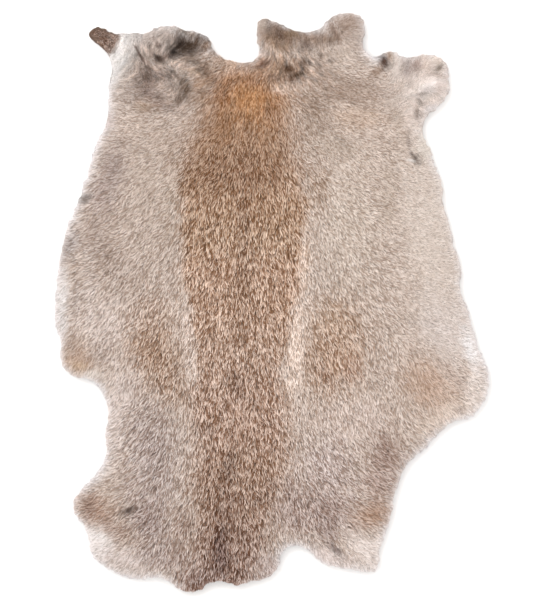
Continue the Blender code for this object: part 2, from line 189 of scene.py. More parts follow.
# The back's brown band, down the photograph
BAND = (
    # pixel y, left and right edges, pixels over which each fades, strength, ticking, red, green, blue
    (58, 222, 272, 12, 14, 0.3, 0.55, 168, 138, 116),
    (80, 216, 278, 20, 20, 0.8, 0.55, 164, 125, 96),
    (100, 208, 286, 20, 20, 0.9, 0.62, 165, 127, 97),
    (120, 199, 291, 24, 24, 0.9, 0.68, 164, 130, 103),
    (145, 187, 297, 24, 24, 1.0, 0.75, 163, 131, 106),
    (175, 179, 299, 16, 18, 1.0, 0.82, 160, 128, 103),
    (205, 181, 307, 7, 8, 1.0, 0.92, 174, 143, 118),
    (240, 181, 305, 6, 7, 1.0, 1.0, 176, 147, 123),
    (270, 180, 302, 6, 6, 1.0, 1.0, 180, 150, 128),
    (305, 189, 297, 6, 6, 1.0, 1.0, 182, 153, 132),
    (340, 193, 290, 7, 7, 1.0, 1.0, 182, 155, 136),
    (375, 196, 281, 8, 8, 1.0, 1.0, 178, 151, 133),
    (400, 188, 290, 18, 18, 1.0, 1.0, 176, 148, 130),
    (440, 200, 290, 20, 18, 1.0, 1.0, 175, 147, 129),
    (475, 192, 286, 18, 18, 1.0, 1.0, 168, 140, 121),
    (510, 195, 276, 17, 18, 1.0, 1.0, 160, 132, 114),
    (545, 194, 266, 17, 17, 1.0, 1.0, 156, 129, 114),
    (590, 180, 252, 15, 16, 1.0, 1.0, 152, 127, 115),
)
BAND_WANDER = ((4, 6 * MM, 3), (3, 2.5 * MM, 4))  # pixels, size, seed

FLANK_COLOUR = (200, 183, 171)
FLANK_TICKING = 0.55
# The rim's pale fringe: partly its thin pale hair, partly painted light against the darker shading of the
# rim's slopes
EDGE_COLOUR = (240, 236, 236)
EDGE_TICKING = 0.1
EDGE_REACH = 6.5 * MM
EDGE_STRENGTH = 0.75

# Some rows are painted shade, painted shadow, painted highlights or painted light, each noted above it.
# Marks of the coat, in a table for each region. The columns of each of them are:
# pixel x, y, half length, half width, turn clockwise, red, green, blue, strength and ticking (percent)
RIGHT_FLANK = (
    (430, 235, 100, 30, 82, 221, 207, 196, 85, 18),
    (445, 330, 40, 26, 70, 219, 206, 198, 85, 22),
    (350, 225, 70, 28, 90, 209, 194, 181, 70, 50),
    (388, 195, 34, 8, 95, 190, 172, 157, 70, 42),
    (396, 335, 40, 12, 85, 203, 186, 174, 60, 55),
)
RIGHT_SHOULDER = (
    (345, 92, 43, 15, 8, 172, 150, 134, 85, 36),
    (356, 120, 28, 11, 0, 200, 176, 157, 75, 34),
    (312, 112, 24, 16, 80, 163, 142, 126, 80, 50),
    (320, 130, 12, 8, 0, 168, 148, 133, 60, 45),
    (335, 148, 28, 12, 0, 183, 165, 150, 70, 42),
    (318, 188, 26, 11, 90, 182, 160, 143, 75, 75),
    (396, 118, 18, 6, 75, 188, 170, 155, 80, 40),
)
LEFT_SHOULDER = (
    (150, 190, 62, 22, 92, 201, 184, 171, 80, 44),
    (172, 205, 50, 8, 92, 188, 170, 155, 60, 60),
    (170, 150, 18, 12, 80, 182, 162, 147, 60, 60),
    (109, 121, 8, 7, 90, 202, 187, 180, 80, 25),
    (114, 166, 24, 13, 96, 171, 154, 145, 85, 38),
    (103, 195, 26, 13, 104, 173, 154, 145, 75, 50),
    (96, 238, 24, 16, 100, 182, 164, 153, 70, 50),
)
LEFT_FLANK = (
    (112, 265, 28, 16, 60, 180, 162, 150, 75, 60),
    (70, 246, 17, 9, 120, 180, 168, 162, 85, 50),
    (64, 298, 26, 7, 92, 228, 221, 217, 80, 25),
    (63, 324, 14, 6, 92, 222, 214, 210, 75, 25),
    (77, 300, 22, 5, 92, 190, 176, 168, 60, 45),
    (90, 290, 32, 8, 90, 212, 199, 191, 60, 50),
    (110, 325, 34, 26, 0, 219, 205, 197, 75, 50),
    (125, 390, 32, 15, 100, 222, 208, 200, 80, 35),
    (118, 430, 28, 11, 90, 220, 206, 198, 75, 40),
)
REAR = (
    (152, 455, 62, 28, 84, 181, 165, 158, 90, 75),
    (150, 522, 30, 18, 60, 164, 145, 138, 80, 70),
    (158, 556, 32, 13, 8, 180, 162, 154, 80, 60),
    (350, 420, 46, 22, 0, 213, 196, 186, 75, 55),
    (328, 470, 34, 30, 80, 191, 174, 167, 90, 75),
    (322, 512, 40, 24, 0, 171, 150, 141, 90, 75),
    (330, 527, 18, 10, 100, 160, 140, 132, 70, 60),
    (292, 505, 28, 14, 90, 170, 149, 140, 70, 75),
)
HAUNCHES = (
    (155, 350, 40, 25, 75, 175, 147, 126, 95, 90),
    (172, 382, 24, 12, 70, 176, 151, 133, 90, 90),
    (152, 312, 22, 18, 0, 192, 170, 155, 60, 80),
    (334, 352, 42, 31, 100, 182, 154, 133, 95, 90),
    (336, 320, 22, 24, 0, 193, 169, 150, 70, 80),
    (326, 376, 14, 6, 60, 164, 134, 115, 60, 90),
    (350, 370, 12, 9, 100, 180, 149, 130, 60, 90),
)
STRIPES = (
    (188, 338, 46, 6, 84, 216, 199, 188, 90, 70),
    (180, 288, 26, 5, 92, 206, 188, 175, 80, 60),
    (304, 264, 34, 6.5, 96, 222, 202, 187, 80, 60),
    (296, 350, 52, 8, 97, 231, 213, 200, 95, 60),
)
FORE_LEGS = (
    (78, 357, 18, 14, 60, 193, 168, 150, 95, 35),
    (74, 345, 9, 7, 100, 176, 155, 140, 70, 35),
    (80, 366, 9, 6, 20, 195, 168, 142, 80, 30),
    (95, 374, 10, 4, 0, 226, 214, 204, 90, 20),
    (103, 352, 16, 10, 60, 184, 166, 155, 60, 45),
    (428, 386, 30, 22, 50, 198, 171, 152, 95, 35),
    (446, 414, 34, 9, 150, 226, 209, 196, 75, 30),
    (452, 374, 18, 3, 48, 190, 168, 155, 60, 35),
    (470, 350, 24, 7, 72, 242, 236, 233, 85, 15),
    (474, 386, 22, 10, 95, 232, 220, 212, 80, 25),
    (459, 410, 5, 4, 0, 180, 162, 152, 60, 30),
)
HIND_LEGS = (
    (388, 452, 24, 17, 80, 162, 138, 126, 90, 70),
    (378, 480, 22, 15, 100, 175, 152, 141, 85, 65),
    (392, 428, 22, 10, 80, 202, 184, 172, 60, 50),
    (96, 508, 22, 14, 30, 184, 156, 138, 95, 45),
    (90, 506, 13, 8, 90, 148, 123, 109, 80, 50),
    (110, 528, 26, 9, 25, 178, 154, 140, 80, 50),
    (372, 514, 20, 12, -20, 180, 150, 130, 95, 45),
    (182, 524, 16, 9, 90, 150, 124, 110, 60, 80),
    (178, 555, 14, 9, 90, 160, 138, 127, 60, 70),
    (100, 542, 18, 12, 50, 238, 230, 225, 100, 10),
    (124, 557, 27, 10, 22, 222, 208, 201, 85, 25),
    (366, 548, 24, 14, 40, 231, 218, 210, 95, 20),
    (332, 556, 22, 9, 20, 222, 207, 200, 85, 25),
)
BACK = (
    (289, 184, 17, 8, 82, 196, 169, 147, 75, 90),
    (245, 172, 50, 15, 0, 148, 114, 88, 75, 85),
    (244, 205, 60, 7, 90, 150, 118, 95, 55, 100),
    (243, 285, 50, 10, 92, 154, 124, 102, 70, 100),
    (236, 384, 13, 6, 70, 138, 108, 90, 75, 100),
    (205, 428, 8, 6, 20, 146, 118, 101, 70, 100),
)
TAIL = (
    (230, 466, 20, 7, 95, 126, 97, 79, 75, 100),
    (210, 468, 16, 12, 90, 146, 116, 98, 60, 100),
    (226, 510, 30, 14, 92, 142, 113, 96, 80, 100),
    (221, 552, 26, 9, 92, 112, 84, 73, 90, 100),
    (258, 500, 15, 3, -40, 134, 107, 90, 60, 100),
    (271, 485, 7, 4, -40, 138, 110, 94, 60, 100),
    (200, 578, 22, 8, 5, 158, 136, 127, 75, 90),
    (268, 566, 13, 12, 90, 186, 167, 159, 85, 45),
)
NAPE = (
    (250, 100, 38, 33, 10, 176, 132, 93, 80, 48),
    (252, 98, 18, 14, 20, 197, 146, 99, 60, 45),
    (226, 90, 9, 16, 20, 158, 116, 84, 60, 80),
    (254, 82, 10, 6, 0, 148, 104, 72, 75, 75),
    (270, 112, 10, 12, 0, 160, 120, 90, 50, 80),
    (223, 128, 10, 20, 10, 150, 110, 77, 70, 60),
    (227, 63, 17, 8, 8, 214, 186, 164, 80, 50),
)
NECK = (
    (212, 66, 12, 14, 60, 164, 138, 118, 70, 60),
    (322, 74, 18, 16, 0, 166, 146, 132, 75, 35),
    (282, 70, 28, 14, 5, 150, 123, 102, 90, 45),
    (262, 78, 8, 6, 0, 192, 157, 131, 80, 60),
    (264, 65, 6, 4.5, 0, 132, 103, 88, 90, 40),
    (288, 70, 4, 6, 110, 110, 78, 56, 90, 40),
    (297, 76, 6, 3, -20, 78, 54, 34, 90, 40),
    (302, 64, 5, 4, 0, 118, 97, 83, 85, 40),
    (291, 80, 5, 3.5, 0, 122, 95, 77, 85, 40),
    (281, 90, 10, 5, 8, 208, 185, 168, 85, 40),
    (274, 78, 8, 3.5, 20, 140, 114, 97, 70, 40),
    (320, 57, 3, 3, 0, 124, 108, 98, 85, 40),
    (331, 62, 4.5, 2.5, -20, 108, 90, 79, 90, 40),
    (344, 58, 20, 13, 0, 200, 183, 170, 80, 30),
)
EARS = (
    (278, 37, 26, 13, 14, 148, 121, 101, 95, 40),
    (263, 24, 9, 9, 0, 186, 169, 157, 90, 20),
    (282, 35, 11, 6, 28, 106, 83, 69, 92, 38),
    (293, 35, 9, 5, 20, 136, 110, 87, 85, 30),
    (277, 46, 16, 7, 5, 163, 136, 114, 75, 35),
    (306.5, 44, 7, 4.4, 72, 90, 68, 55, 95, 30),
    (299, 50, 5, 4, 0, 178, 160, 148, 70, 30),
    (317, 40, 16, 8, 0, 150, 126, 109, 90, 30),
    (345, 24, 19, 14, 0, 173, 152, 138, 95, 25),
    (336, 36, 9, 3, 62, 136, 111, 95, 85, 25),
    (343, 32, 11, 2.5, -48, 152, 129, 113, 70, 25),
    (330, 41, 8, 2.5, -4, 146, 122, 104, 75, 30),
    (356, 42, 8, 13, 0, 194, 175, 162, 70, 25),
)
LEFT_FLAP = (
    (158, 42, 28, 16, 0, 190, 174, 164, 90, 22),
    (121, 57, 30, 13, 102, 226, 220, 215, 100, 8),
    # painted highlight on the white shoulder
    (122, 46, 8, 6, 90, 250, 243, 238, 80, 5),
    (133, 53, 10, 4, 62, 228, 219, 213, 70, 8),
    # painted shade under the crease
    (148, 84, 20, 25, 0, 158, 139, 128, 85, 35),
    (126, 98, 13, 12, 90, 178, 162, 152, 60, 35),
    (190, 34.5, 14, 3, 20, 172, 156, 144, 80, 30),
    # painted shade below the hollow
    (191, 54, 14, 6, -5, 122, 105, 94, 90, 35),
    # this row and the next: painted shadow in the hollow under the roll's lip
    (192, 45.5, 19, 8.5, -12, 92, 72, 58, 100, 45),
    (181, 45, 7, 6, -50, 72, 53, 41, 95, 30),
    (207, 47, 7, 7, 60, 152, 127, 109, 80, 40),
    # painted shadow at the hollow's darkest point
    (173, 53, 5.2, 3.4, -38, 14, 3, 1, 100, 10),
    # this row and the next two: painted shade under the flap and in its pocket
    (191, 61, 11, 5.5, 10, 130, 112, 99, 85, 40),
    (159.5, 59.5, 6, 2.9, 40, 80, 64, 56, 100, 20),
    (167, 57.5, 7, 3.5, -10, 134, 114, 103, 80, 30),
    # painted highlight on the roll
    (165, 49, 5, 3, -60, 206, 190, 180, 80, 20),
    # this row and the next three: painted shade on the roll's side, in the slit, along the crease and at
    # its lower end
    (177, 37, 7, 2.2, 100, 162, 144, 133, 80, 25),
    (158.5, 46, 7, 2.2, 62, 130, 112, 102, 90, 20),
    (140.5, 56, 12, 1.3, 60, 112, 92, 83, 100, 20),
    (149, 69, 5, 2.6, 50, 118, 99, 89, 90, 25),
)
WHORL = (
    # painted shade under the flap's end
    (204, 67, 7, 3, 50, 152, 129, 113, 65, 40),
    (206, 74, 7, 2.2, 60, 138, 112, 94, 75, 40),
    (184, 67, 8, 4, 20, 190, 168, 154, 70, 40),
    (195, 73, 7, 2.5, 15, 190, 168, 149, 70, 40),
    (160, 77, 13, 6, 8, 137, 119, 109, 75, 40),
    (179, 79, 8, 4, 48, 136, 118, 106, 70, 40),
    (197, 94, 9, 6, 80, 160, 138, 122, 75, 45),
    (186, 91, 11, 6.5, 76, 110, 88, 71, 90, 40),
    (180, 101, 9, 5, -35, 121, 99, 82, 80, 40),
    # painted shade along the crease's lower end
    (149, 80, 13, 5.5, 78, 134, 115, 104, 80, 40),
    (157, 99, 12, 5, 15, 148, 129, 118, 65, 50),
    (148, 92, 8, 5, 20, 138, 119, 109, 75, 45),
    (169, 87, 9, 6, 15, 190, 172, 160, 80, 35),
    (201, 84, 9, 7, 20, 170, 140, 116, 75, 50),
    (213, 81, 8, 6, 50, 144, 112, 88, 75, 50),
    (160, 107, 24, 7, 8, 162, 142, 130, 75, 50),
    (204, 101, 10, 8, 0, 165, 137, 115, 65, 60),
    (143, 108, 9, 5, 0, 176, 150, 126, 60, 40),
)
RIGHT_FLAP = (
    (424, 86, 34, 30, 0, 226, 212, 203, 95, 18),
    (394, 66, 16, 7, 82, 225, 212, 202, 90, 20),
    # painted shade in the valley between the ridges
    (408, 70, 11, 6, 96, 190, 175, 168, 95, 15),
    (416, 64, 8, 5, 100, 180, 158, 148, 85, 30),
    (425, 65, 9, 4, 80, 212, 193, 180, 80, 20),
    (436, 63, 8, 6, 20, 221, 206, 194, 80, 25),
    # this row and the next: painted shade in the end's crease
    (439, 69, 4.5, 2.3, -42, 150, 135, 124, 90, 20),
    (437, 76, 9, 1.8, 4, 186, 166, 156, 80, 20),
    (422, 87, 20, 5, -27, 235, 223, 214, 85, 12),
    (436, 86, 9, 8, 30, 224, 209, 200, 80, 15),
    # painted light that offsets the fold's shade here
    (428, 90, 12, 6, -40, 254, 244, 238, 90, 10),
    # this row and the next: painted shade in creases
    (421, 95, 6, 1.6, -10, 176, 161, 152, 80, 20),
    (420, 103, 4, 2.2, 60, 176, 161, 152, 80, 20),
    (410, 86, 6, 3, 60, 190, 174, 163, 60, 20),
    (431, 109, 7, 4, -25, 222, 213, 209, 80, 15),
    # the hollow's brown fur, darkened with painted shade
    (384, 62, 6.5, 5, 70, 72, 38, 20, 100, 25),
    (389, 57, 6, 3.5, 60, 163, 134, 111, 80, 25),
    (377, 72, 10, 4.5, 128, 156, 131, 113, 80, 40),
    # painted shade in a crease
    (416.5, 116, 7, 1.8, 95, 166, 146, 133, 90, 20),
)
RIGHT_EDGE = (
    (411, 124, 10, 12, 0, 228, 213, 203, 80, 20),
    # painted shade in a crease
    (408, 142, 8, 1.8, 84, 182, 165, 154, 80, 25),
    (423, 148, 9, 16, 0, 224, 213, 202, 80, 15),
    # painted shade in the pinch, then a painted highlight beside it
    (414, 158, 8, 1.9, 52, 140, 125, 115, 90, 20),
    (410, 161, 6, 1.5, 5, 238, 230, 224, 80, 10),
)
# Painted shade in small creases and nicks of the coat
CREASE_SHADE = (
    (86, 199, 7, 4, -30, 146, 134, 127, 90, 30),
    (130, 509, 7, 2.3, -22, 118, 101, 92, 85, 30),
    (336, 549, 9, 3, 48, 156, 137, 130, 80, 30),
    (413, 352, 4, 4, 0, 172, 152, 138, 70, 40),
)
SCRAP = (
    (100, 38, 20, 20, 34, 134, 110, 96, 100, 80),
)
SCRAP_END = (
    (91, 31, 6, 5, 30, 122, 96, 81, 90, 60),
)

# In this order they are laid over each other
MARKS = (
    *RIGHT_FLANK, *RIGHT_SHOULDER, *LEFT_SHOULDER, *LEFT_FLANK, *REAR, *HAUNCHES, *STRIPES, *FORE_LEGS,
    *HIND_LEGS, *BACK, *TAIL, *NAPE, *NECK, *EARS, *LEFT_FLAP, *WHORL, *RIGHT_FLAP, *RIGHT_EDGE,
    *CREASE_SHADE, *SCRAP, *SCRAP_END,
)

MARK_REACH = 2.2  # half-extents from its middle within which a mark shows
WIDE, NARROW = 3.6, 2.2  # half widths of the narrowest wide mark and the widest narrow one
RAGGED, NARROW_RAGGED = 0.16, 0.1  # how uneven a wide mark's edge is, and a narrow one's besides
RAGGED_SIZE, NARROW_SIZE = 4 * MM, 2.6 * MM  # the size of that, and how much smaller a narrow mark's is
FADE, NARROW_FADE = 2.6, 2.0  # how suddenly a wide mark ends, and a narrow one besides
SHARP_FADE = 14.0  # and how suddenly the scrap ends
SHARP_RAGGED = 0.3  # the share of its unevenness that it keeps
STREAK_WIDTH = 1.2 * MM  # of the streaks along the hair that make the marks' edges uneven
STREAKED = 0.2
STREAK_STEPS = (-2, -1, 0, 1, 2)  # widths along the hair over which a streak is drawn out
STREAK_EVEN = 2.2  # brings their sum back to about -1 to 1

# Where the coat's tufts are paler and darker by turns
MOTTLES = (
    # name, pixel x, y, half length, half width, turn clockwise, width of the tufts, how much
    ("neck", 290, 68, 42, 20, 8, 1.2 * MM, 0.55),
    ("ears", 300, 34, 56, 18, 0, 1.2 * MM, 0.18),
    ("left_flap", 165, 66, 48, 44, 0, 1.1 * MM, 0.36),
    ("left_flap_wide", 165, 60, 48, 44, 0, 2.4 * MM, 0.18),
    ("left_shoulder", 150, 145, 55, 42, 0, 2.4 * MM, 0.06),
    ("right_shoulder", 350, 120, 60, 60, 0, 2.4 * MM, 0.06),
    ("nape", 250, 104, 46, 44, 10, 1.3 * MM, 0.2),
    ("right_flap", 420, 90, 40, 46, 0, 1.4 * MM, 0.07),
    ("scrap", 102, 38.5, 22, 12, 34, 1.0 * MM, 0.3),
)
MOTTLE_FADE = 2.6
MOTTLE_ROUND = 0.4  # how much round tufts are mixed with the streaks
MOTTLE_LIMITS = (0.3, 1.7)

# Where the fur is finer than on the back
FINE = (
    # name, pixel x, y, half length, half width, turn clockwise, how much
    ("left_flap", 158, 68, 56, 46, 10, 1.0),
    ("ears", 305, 34, 64, 26, 0, 1.0),
    ("neck", 300, 72, 46, 18, 6, 0.8),
    ("right_flap", 415, 98, 44, 60, 10, 1.0),
    ("left_shoulder", 148, 140, 62, 46, 0, 0.5),
    ("nape", 248, 115, 50, 60, 0, 0.35),
    ("right_shoulder", 350, 125, 66, 60, 0, 0.5),
    ("right_flank", 425, 260, 120, 38, 82, 0.5),
    ("scrap", 103, 38, 24, 14, 33, 1.0),
)
FINE_FADE = 4

# Seeds of the noise that isn't in a table above; each mark and mottle has one of its own
CLUMP_SEED = 5
RIPPLE_SEED = 8
LUMP_SEED = 9
FUZZ_SEED = 10
STREAK_SEED = 12
MARK_SEED = 20
TUFT_SEED = 300
ROUND_SEED = 100  # is added to a tuft's seed

Surface = namedtuple("Surface", "places normals triangles traits tree outward")


# Numbers


def linear(colour):
    """A colour of 0 to 255 as linear light, by the sRGB curve."""
    share = np.asarray(colour, float) / 255
    return np.where(share <= 0.04045, share / 12.92, ((share + 0.055) / 1.055) ** 2.4)


def display(light):
    """Linear light as a colour of 0 to 255."""
    curve = 1.055 * np.maximum(light, 1e-9) ** (1 / 2.4) - 0.055
    return 255 * np.where(light <= 0.0031308, light * 12.92, curve)


def smooth(low, high, value):
    """0 at low, 1 at high, and an eased step between them."""
    share = np.clip((value - low) / (high - low), 0, 1)
    return share * share * (3 - 2 * share)


def kept(share, where):
    """1 where it isn't so, and this share where it is."""
    return 1 - (1 - share) * where


def waves(places, size, seed):
    """Smooth noise of -1 to 1 over the plane, with lumps of this size."""
    across, down, start = 97, 101, 1000
    table = np.random.default_rng(seed).uniform(-1, 1, (across, down))
    cell = places / size + start
    corner = np.floor(cell).astype(int)
    part = cell - corner
    part = part * part * (3 - 2 * part)
    value = 0.0
    for dx in (0, 1):
        for dy in (0, 1):
            share = np.abs(1 - dx - part[:, 0]) * np.abs(1 - dy - part[:, 1])
            value = value + share * table[(corner[:, 0] + dx) % across, (corner[:, 1] + dy) % down]
    return value


def wave_sum(places, rows):
    """The sum of waves of these shares, sizes and seeds."""
    return sum(share * waves(places, size, seed) for share, size, seed in rows)


def streaks(places, heading, size, seed):
    """Smooth noise of about -1 to 1, with lumps of this width that are drawn out along the hair."""
    return sum(waves(places + heading * (size * step), size, seed) for step in STREAK_STEPS) / STREAK_EVEN


def unit(vectors):
    return vectors / np.maximum(np.linalg.norm(vectors, axis=-1, keepdims=True), 1e-12)


def dot(a, b):
    return np.sum(a * b, axis=-1, keepdims=True)


def level(vectors):
    """Vectors of the plane with a height of 0."""
    return np.concatenate([vectors, np.zeros((len(vectors), 1))], axis=1)


# The coat's chart


def photo_pixels(places):
    x, y = places[:, 0], places[:, 1]
    return np.stack([x / PIXEL + PHOTO_ORIGIN[0], PHOTO_ORIGIN[1] - y / PIXEL], axis=1)


def oval(px, py, x, y, length, width, turn):
    """How far pixels lie from the middle of an oval: 1 on its edge."""
    dx, dy = px - x, py - y
    angle = math.radians(turn)
    along = (dx * math.cos(angle) + dy * math.sin(angle)) / length
    across = (dy * math.cos(angle) - dx * math.sin(angle)) / width
    return np.sqrt(along * along + across * across)


def laid_over(colour, ticking, new_colour, new_ticking, weight):
    """Colour and ticking with new ones laid over them."""
    return colour + (new_colour - colour) * weight[:, None], ticking + (new_ticking - ticking) * weight


def mark_weight(width, sharp, seed, spread, places, drawn_out):
    """How strongly a mark shows at places that lie this many half-extents from its middle."""
    narrow = smooth(WIDE, NARROW, width)
    ragged = (RAGGED + NARROW_RAGGED * narrow) * waves(places, RAGGED_SIZE - NARROW_SIZE * narrow, seed)
    ragged += STREAKED * drawn_out
    fade = FADE + NARROW_FADE * narrow
    if sharp:
        fade = SHARP_FADE
        ragged *= SHARP_RAGGED
    return np.exp(-(np.clip(spread + ragged, 0, None) ** fade))


def coat(places, far, heading):
    """Linear colour and ticking of the coat at these places, which lie this far from the rim; the colour
    holds the painted shade, shadow, highlights and light of some marks and of the rim's fringe.
    """
    px, py = photo_pixels(places).T
    colour = np.tile(linear(FLANK_COLOUR), (len(places), 1))
    ticking = np.full(len(places), FLANK_TICKING)
    # the rim's pale fringe, partly painted light
    weight = EDGE_STRENGTH * np.exp(-((far / EDGE_REACH) ** 2))
    colour, ticking = laid_over(colour, ticking, linear(EDGE_COLOUR), EDGE_TICKING, weight)

    rows = np.array(BAND, float)
    left, right, left_fade, right_fade, strength, firm, *channels = (
        np.interp(py, rows[:, 0], rows[:, column]) for column in range(1, rows.shape[1])
    )
    wander = wave_sum(places, BAND_WANDER)
    weight = smooth(-left_fade, left_fade, px + wander - left) * strength
    weight = weight * smooth(-right_fade, right_fade, right - px + wander)
    colour, ticking = laid_over(colour, ticking, linear(np.stack(channels, axis=1)), firm, weight)

    drawn_out = streaks(places, heading, STREAK_WIDTH, STREAK_SEED)
    for seed, row in enumerate(MARKS, MARK_SEED):
        *shape, red, green, blue, strength, firm = row
        spread = oval(px, py, *shape)
        near = spread < MARK_REACH
        weight = mark_weight(shape[3], row in SCRAP, seed, spread[near], places[near], drawn_out[near])
        new = (linear((red, green, blue)), firm / 100, weight * strength / 100)
        colour[near], ticking[near] = laid_over(colour[near], ticking[near], *new)

    for seed, (_, *shape, lump, amount) in enumerate(MOTTLES, TUFT_SEED):
        weight = amount * np.exp(-(oval(px, py, *shape) ** MOTTLE_FADE))
        tufts = streaks(places, heading, lump, seed)
        tufts += MOTTLE_ROUND * waves(places, lump, seed + ROUND_SEED)
        colour *= np.clip(1 + weight * tufts, *MOTTLE_LIMITS)[:, None]
    return colour, ticking


def fineness(places):
    """How fine the fur is, 0 to 1."""
    px, py = photo_pixels(places).T
    rows = [amount * np.exp(-(oval(px, py, *shape) ** FINE_FADE)) for _, *shape, amount in FINE]
    return np.max(rows, axis=0)


def ticked(colour, ticking, own):
    """The strands' tips, paler and darker than the coat by turns."""
    pale = smooth(*PALE_SHARE, own) * ticking**PALE_EASE
    dark = smooth(*DARK_SHARE, own) * ticking**DARK_EASE
    tip = display(colour) + pale[:, None] * PALE_TICK + dark[:, None] * DARK_TICK
    return linear(np.clip(tip, *TIP_LIMITS))


def flow(places):
    """Unit vectors in the plane that the hair follows."""
    pixels = photo_pixels(places)
    total = np.zeros((len(places), 2))
    tables = ((FLOW, FLOW_REACH, 1.0, FAR_FLOW), (FLAP_FLOW, FLAP_FLOW_REACH, FLAP_FLOW_SHARE, 0))
    for table, reach, share, beyond in tables:
        for x, y, degrees in table:
            far2 = (pixels[:, 0] - x) ** 2 + (pixels[:, 1] - y) ** 2
            weight = share * np.exp(-far2 / reach**2) + beyond / (1 + far2 / reach**2)
            angle = math.radians(degrees)
            total += weight[:, None] * (math.sin(angle), -math.cos(angle))
    heading = np.arctan2(total[:, 1], total[:, 0])
    heading += math.radians(FLOW_WAVE) * wave_sum(places, FLOW_WAVES)
    return np.stack([np.cos(heading), np.sin(heading)], axis=1)


# Meshes


def linked(obj):
    bpy.context.scene.collection.objects.link(obj)
    return obj


def gathered(items, key, width, kind=float):
    """A property of a mesh's items, a row for each."""
    values = np.empty(len(items) * width, kind)
    items.foreach_get(key, values)
    return values.reshape(-1, width)


def fill(items, key, values, kind=np.float32):
    items.foreach_set(key, values.astype(kind).ravel())


def mesh_arrays(mesh):
    """Places, normals and triangles of a mesh."""
    places, normals = (gathered(mesh.vertices, key, 3) for key in ("co", "normal"))
    mesh.calc_loop_triangles()
    return places, normals, gathered(mesh.loop_triangles, "vertices", 3, int)


def move_vertices(mesh, places):
    fill(mesh.vertices, "co", places)
    mesh.update()


def set_attribute(mesh, name, kind, values):
    layer = mesh.attributes.new(name, kind, "POINT")
    key = "value"
    if kind == "FLOAT_COLOR":
        key = "color"
        values = np.concatenate([values, np.ones((len(values), 1))], axis=1)
    fill(layer.data, key, values)


def baked_mesh(obj):
    """The object's mesh with its modifiers applied."""
    bpy.context.view_layer.update()
    mesh = bpy.data.meshes.new_from_object(obj.evaluated_get(bpy.context.evaluated_depsgraph_get()))
    obj.modifiers.clear()
    obj.data = mesh
    return mesh


def edge_ends(mesh):
    """Both ends of every edge, each way round."""
    ends = gathered(mesh.edges, "vertices", 2, int)
    return np.concatenate([ends, ends[:, ::-1]])


def eased(values, ends, rounds, steps):
    """Values at a mesh's vertices, drawn towards their neighbours' mean by each step of each round."""
    count = len(values)
    degree = np.maximum(np.bincount(ends[:, 0], minlength=count), 1)[:, None]
    for _ in range(rounds):
        for step in steps:
            total = [np.bincount(ends[:, 0], column[ends[:, 1]], count) for column in values.T]
            values = values + (np.stack(total, axis=1) / degree - values) * step
    return values


# Wool


def is_lock_point(vertex):
    """Whether a vertex is the point of a four-sided lock."""
    if len(vertex.link_faces) != 4:
        return False
    mean = sum((face.normal for face in vertex.link_faces), Vector()) / 4
    stands_out = all((vertex.co - edge.other_vert(vertex).co).dot(mean) > 0 for edge in vertex.link_edges)
    return mean.length < LOCK_SHARPNESS and mean.z < LOCK_UP and stands_out


def lay_locks_flat(mesh):
    """Draws the locks at the rim back into the faces that they grow from."""
    bm = bmesh.new()
    bm.from_mesh(mesh)
    bmesh.ops.remove_doubles(bm, verts=bm.verts, dist=WELD)
    bm.normal_update()
    for point in [vertex for vertex in bm.verts if is_lock_point(vertex)]:
        ring = {edge.other_vert(point) for edge in point.link_edges}
        for vertex in ring:
            roots = [edge.other_vert(vertex) for edge in vertex.link_edges]
            roots = [root.co for root in roots if root is not point and root not in ring]
            vertex.co = sum(roots, Vector()) / len(roots)
        point.co = sum((vertex.co for vertex in ring), Vector()) / len(ring)
    bm.to_mesh(mesh)
    bm.free()


def cells_inside(a, b, c, x, y):
    """Whether each of these places lies in a triangle, whichever way round that is."""
    sides = [(q[0] - p[0]) * (y - p[1]) - (q[1] - p[1]) * (x - p[0]) for p, q in ((a, b), (b, c), (c, a))]
    return (np.minimum.reduce(sides) >= 0) | (np.maximum.reduce(sides) <= 0)


def softened_outline(mesh):
    """How much of each cell of a grid the solid covers, softened at its edge, and the grid's corner."""
    places, _, triangles = mesh_arrays(mesh)
    corner = places[:, :2].min(axis=0) - OUTLINE_MARGIN
    cells = np.ceil((places[:, :2].max(axis=0) + OUTLINE_MARGIN - corner) / OUTLINE_CELL).astype(int)
    cover = np.zeros(cells, bool)
    for triangle in (places[triangles][:, :, :2] - corner) / OUTLINE_CELL:
        low = np.floor(triangle.min(axis=0)).astype(int)
        high = np.ceil(triangle.max(axis=0)).astype(int) + 1
        x = np.arange(low[0], high[0])[:, None] + 0.5
        y = np.arange(low[1], high[1])[None] + 0.5
        cover[low[0] : high[0], low[1] : high[1]] |= cells_inside(*triangle, x, y)
    cover = cover.astype(float)
    for _ in range(OUTLINE_SOFTENING):
        for axis in (0, 1):
            cover = cover / 2 + (np.roll(cover, 1, axis) + np.roll(cover, -1, axis)) / 4
    return cover, corner


def gaps_to_outline(places, outward, cover, corner):
    """How far out the solid's outline lies from each place of the rim."""
    steps = np.arange(-OUTLINE_INWARD, OUTLINE_OUTWARD, OUTLINE_CELL / 2)
    way = places[:, None, :2] + outward[:, None] * steps[:, None]
    cell = np.clip(((way - corner) / OUTLINE_CELL).astype(int), 0, np.array(cover.shape) - 1)
    inside = cover[cell[:, :, 0], cell[:, :, 1]] >= 0.5
    inside[:, -1] = False
    return steps[np.argmin(inside, axis=1)]


def rim_of(places, normals):
    """The coat's rim: its vertices, a tree of them, and which way is out at each."""
    steep = (np.abs(normals[:, 2]) < RIM_STEEP) & (places[:, 2] > RIM_LEVEL)
    tree = kdtree.KDTree(int(steep.sum()))
    for index, place in enumerate(places[steep]):
        tree.insert((place[0], place[1], 0), index)
    tree.balance()
    return steep, tree, unit(normals[steep][:, :2])


